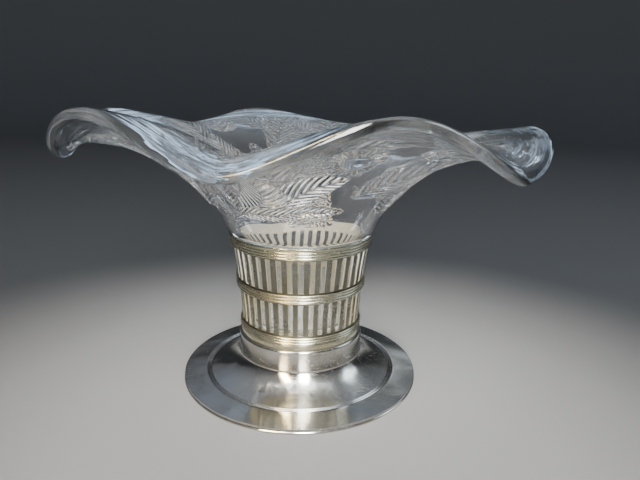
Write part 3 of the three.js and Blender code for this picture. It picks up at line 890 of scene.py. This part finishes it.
# Section of the glass at every angle in three bands: base, stem and overhanging neck; the pressed part of
# the flare, which has more angles than the rest; lip, rounded rim, inside of the flare and of the stem.
def makeBowl():
    coarse, fine = bowl["steps"], bowl["fineSteps"]
    angle, fineAngle = (np.arange(count) / count * 360 for count in (coarse, fine))
    base = plate["top"] + common["gap"]
    edge = bowl["footEdge"]
    inset = common["wall"] + bowl["stemGap"]
    footRadius = float(galleryRadius(base)) - inset
    start = np.vstack([
        line((footRadius * bowl["footRing"], base), (footRadius - edge, base), 3),
        arc((footRadius - edge, base + edge), edge, -90, 0, 6)[1:]])
    low, high = bowl["stemEnds"]
    level = np.linspace(base + low, rimTop + common["gap"] - high, 9)
    stem = np.stack([galleryRadius(np.minimum(level, galleryTop)) - inset, level], -1)
    neck, _ = flareSide(angle, np.array(bowl["neckShares"]), 1)
    below = np.concatenate([spread(start), spread(stem), neck])

    pressedStart, pressedEnd = bowl["pressed"]
    share = np.linspace(pressedStart, pressedEnd, bowl["fineRows"])
    middle, normal = flareSide(fineAngle, share, 1)
    step = np.hypot(*np.diff(middle, axis=0).transpose(1, 0, 2)) / ((middle[1:, 0] + middle[:-1, 0]) / 2)
    rise = np.vstack([np.zeros((1, fine)), np.cumsum(step, axis=0)]) + pattern["firstLevel"]
    relief, *pressed = pressedPattern(fineAngle, rise, share[:, None])
    middle = middle + normal * relief[:, None, :]

    lipShare = np.linspace(pressedEnd, 1, 15)[1:]
    lip, _ = flareSide(angle, lipShare, 1)
    rim = rimRound(angle)
    inShare = np.concatenate([np.linspace(1, pressedEnd, 9), np.linspace(pressedEnd, 0, 24)[1:]])
    inner, _ = flareSide(angle, inShare, -1)
    floor = base + bowl["floor"]
    top, bottom = bowl["insideEnds"]
    level = np.linspace(galleryTop - top, floor + bottom, 8)
    insideStem = np.stack([galleryRadius(level) - inset - bowl["stemWall"], level], -1)
    floorRadius = float(galleryRadius(floor)) - inset - bowl["stemWall"]
    curve, rings = bowl["floorRound"], bowl["floorRings"]
    finish = np.vstack([
        arc((floorRadius - curve, floor + curve), curve, 0, -90, 6),
        line((floorRadius * rings[0], floor), (floorRadius * rings[1], floor), 3)])
    above = np.concatenate([lip, rim, inner, spread(insideStem), spread(finish)])

    points, faces, firsts = [], [], []
    count = 0
    for band in (below, middle, above):
        bandPoints, bandFaces = aroundAxis(band[:, 0], band[:, 1], (base, floor))
        faces += (np.array(bandFaces[:(len(band) - 1) * band.shape[2]]) + count).tolist()
        firsts.append(count)
        points.append(bandPoints[:-2])
        count += len(bandPoints) - 2
    points = np.vstack(points + [[[0, 0, base], [0, 0, floor]]])
    faces += seamFaces(firsts[1] - coarse, coarse, firsts[1], fine, True)
    faces += seamFaces(firsts[2], coarse, firsts[2] - fine, fine, False)
    faces += fan(count, 0, coarse, False) + fan(count + 1, count - coarse, coarse, True)

    names = ("barbPhase", "barbMask", "stipple", "frostingAndPaintedGlint")
    plain = np.zeros(firsts[1])
    marks = {name: np.concatenate([plain, values.ravel()]) for name, values in zip(names, pressed)}
    rows = [
        len(start) + len(stem), len(neck) + len(share), len(lip), len(rim), len(inner),
        len(insideStem) + len(finish)]
    fineness = np.repeat([coarse, fine, coarse], [len(below), len(share), len(above)])
    ringMarks = bowlMarks(rows, np.concatenate([start, stem])[:, 1], share, lipShare, inShare)
    for name, values in ringMarks.items():
        marks[name] = np.repeat(values, fineness[: len(values)])
    makePiece("glassBowl", points, faces, glass, "glass", "glass_bowl", sharp=60, marks=marks)


makeBowl()
print("bowl made")

# Studio: a pale floor in a pool of light, a dark wall all round, soft boxes and the photograph's camera
studio = {
    "flat": 1.3, "curve": 0.5, "top": 0.65, "wallFoot": 0.05, "flatEdge": 0.1, "steps": 96, "poolPlace": 0.07,
    "floorTone": (0.35, 0.345, 0.34, 1), "farTone": (0.026, 0.031, 0.038, 1), "pool": (0.07, 0.30),
    "roughness": 0.8, "shine": 0.2, "boxCore": 0.35,
    "boxes": [
        # name, place, aim, size, brightness, colour, and what it lights
        ("whiteStrip", (0.09, -0.82, 0.98), (0, -0.03, 0.03), (0.40, 2.3), 84, (1.0, 0.98, 0.95), "gloss"),
        ("goldStrip", (-0.42, -0.76, 0.98), (0, -0.03, 0.03), (0.30, 2.3), 60, (1.0, 0.78, 0.46), "gloss"),
        ("coolBox", (1.3, 0.2, 1.0), (0, 0, 0.1), (0.9, 1.1), 6, (0.78, 0.88, 1.0), "all"),
        ("upperBox", (-0.1, -0.1, 1.7), (0, 0, 0), (0.5, 0.5), 9, (0.97, 0.98, 1.0), "all"),
        ("frontBox", (0.0, -0.95, 0.95), (0, 0, 0.05), (1.2, 1.0), 5, (1.0, 0.98, 0.95), "soft"),
        ("lowFront", (0.0, -1.35, 0.36), (0, 0, 0.1), (1.1, 0.5), 66, (1.0, 0.98, 0.94), "matt"),
        ("lowWhite", (0.0, -1.4, 0.38), (0, 0, 0.1), (1.1, 0.5), 5, (0.91, 0.97, 1.0), "glass"),
        ("mouthBox", (0.0, -0.55, 1.2), (0, 0, 0.1), (0.9, 0.9), 26, (0.91, 0.97, 1.0), "glass"),
        ("ringBox", (0.36, 1.3, 0.74), (0, 0, 0.05), (0.46, 0.6), 0.8, (0.85, 0.93, 1.0), "gloss"),
        ("behindTop", (0.0, 1.3, 0.78), (0, 0, 0.1), (2.6, 0.9), 1.8, (0.66, 0.83, 1.0), "glass"),
        ("behindLeft", (-1.04, 0.9, 0.25), (0, 0, 0.1), (0.55, 0.8), 8, (0.80, 0.90, 1.0), "glass"),
        ("behindRight", (1.18, 0.9, 0.25), (0, 0, 0.1), (0.55, 0.8), 11, (0.80, 0.90, 1.0), "glass"),
    ],
}


def makeStudio():
    flat, curve, steps = studio["flat"], studio["curve"], studio["steps"]
    profile = np.vstack([
        line((flat + curve, studio["top"]), (flat + curve, curve + studio["wallFoot"]), 3),
        arc((flat, curve), curve, 0, -90, 20),
        line((flat - studio["flatEdge"], 0), (studio["flatEdge"], 0), 9)])
    points, faces = aroundAxis(*np.repeat(profile.T[:, :, None], steps, 2), (0, 0))
    mesh = bpy.data.meshes.new("sweep")
    mesh.from_pydata(points.tolist(), [], faces[:(len(profile) - 1) * steps] + faces[-steps:])
    mesh.shade_smooth()
    material, tree, shader, place = newMaterial("sweepPaper")
    x, y, _ = separate(tree, place)
    # The paper's colour is a painted pool of light: pale round the holder, fading to dark further away and up
    # the wall
    forward = plus(tree, y, studio["poolPlace"])
    away = vectorMaths(tree, "LENGTH", combine(tree, X=x, Y=forward), output="Value")
    feed(tree, shader, {
        "Base Color": mixColour(
            tree, between(tree, away, *studio["pool"]), studio["floorTone"], studio["farTone"]),
        "Roughness": studio["roughness"], "Specular IOR Level": studio["shine"]})
    mesh.materials.append(material)
    addObject("sweep", mesh)


# Matrix whose columns are three directions and a place
def columns(right, above, back, place):
    return Matrix(np.vstack([np.stack([right, above, back, place], 1), [0, 0, 0, 1]]).tolist())


def pointedAt(place, aim):
    away = np.array(place, float) - np.array(aim, float)
    away /= np.linalg.norm(away)
    right = np.cross((0, 0, 1), away)
    right /= np.linalg.norm(right)
    return columns(right, np.cross(away, right), away, place)


# Soft boxes are glowing panels, brightest in the middle and fading to nothing at their edges. Some light
# only gloss and glass, some only matt faces and glass, some only one of these.
def makeBoxes():
    for name, place, aim, size, brightness, colour, lit in studio["boxes"]:
        mesh = bpy.data.meshes.new(name)
        w, h = size[0] / 2, size[1] / 2
        mesh.from_pydata([(-w, -h, 0), (w, -h, 0), (w, h, 0), (-w, h, 0)], [], [(3, 2, 1, 0)])
        material, tree, shader, where = newMaterial(name)
        tree.nodes.remove(shader)
        x, y, _ = separate(tree, where)
        wide, high = (between(tree, maths(tree, "ABSOLUTE", off), half * studio["boxCore"], half, 1.0, 0.0)
                      for off, half in ((x, w), (y, h)))
        strength = times(tree, wide, high, brightness)
        back = addNode(tree, "NewGeometry").outputs["Backfacing"]
        glow = addNode(tree, "Emission", {"Color": colour + (1,), "Strength": strength}).outputs[0]
        empty = addNode(tree, "BsdfTransparent").outputs[0]
        either = addNode(tree, "MixShader", {0: back, 1: glow, 2: empty}).outputs[0]
        feed(tree, tree.nodes["Material Output"], {"Surface": either})
        mesh.materials.append(material)
        panel = addObject(name, mesh)
        panel.matrix_world = pointedAt(place, aim)
        panel.visible_camera = False
        panel.visible_glossy = lit in ("all", "gloss")
        panel.visible_diffuse = lit in ("all", "soft", "matt")
        panel.visible_transmission = lit != "matt"


sky = {
    "high": (0.28, 0.29, 0.31, 1), "horizon": (0.13, 0.135, 0.145, 1), "back": (0.27, 0.31, 0.38, 1),
    "top": (0.45, 0.46, 0.48, 1), "lift": (0.30, 0.72), "behind": (0.1, 0.7), "overhead": (0.6, 1.0),
}


# Light of the room: dark at the horizon, paler above and behind the holder, palest overhead
def makeSky():
    world = bpy.data.worlds.new("room")
    world.use_nodes = True
    tree = world.node_tree
    _, y, z = separate(tree, addNode(tree, "TexCoord").outputs["Generated"])
    high = mixColour(tree, between(tree, y, *sky["behind"]), sky["high"], sky["back"])
    wall = mixColour(tree, between(tree, z, *sky["lift"]), sky["horizon"], high)
    dome = mixColour(tree, between(tree, z, *sky["overhead"]), wall, sky["top"])
    feed(tree, tree.nodes["Background"], {"Color": dome})
    bpy.context.scene.world = world


camera = {
    "place": (0.0, -0.27253, 0.14933), "down": 15.931, "turn": 1.988, "roll": 1.055,
    "lens": 31.5, "nearest": 0.01,
}


# The camera looks along the turned and lowered direction, then rolls about it
def makeCamera():
    down, turn, roll = (math.radians(camera[key]) for key in ("down", "turn", "roll"))
    ahead = np.array([math.sin(turn) * math.cos(down), math.cos(turn) * math.cos(down), -math.sin(down)])
    right = np.array([math.cos(turn), -math.sin(turn), 0])
    above = np.cross(right, ahead)
    lens = bpy.data.cameras.new("photoCamera")
    lens.lens = camera["lens"]
    lens.clip_start = camera["nearest"]
    body = addObject("photoCamera", lens)
    body.matrix_world = columns(
        right * math.cos(roll) + above * math.sin(roll), -right * math.sin(roll) + above * math.cos(roll),
        -ahead, camera["place"])
    bpy.context.scene.camera = body


makeStudio()
makeBoxes()
makeSky()
makeCamera()
print("studio made")
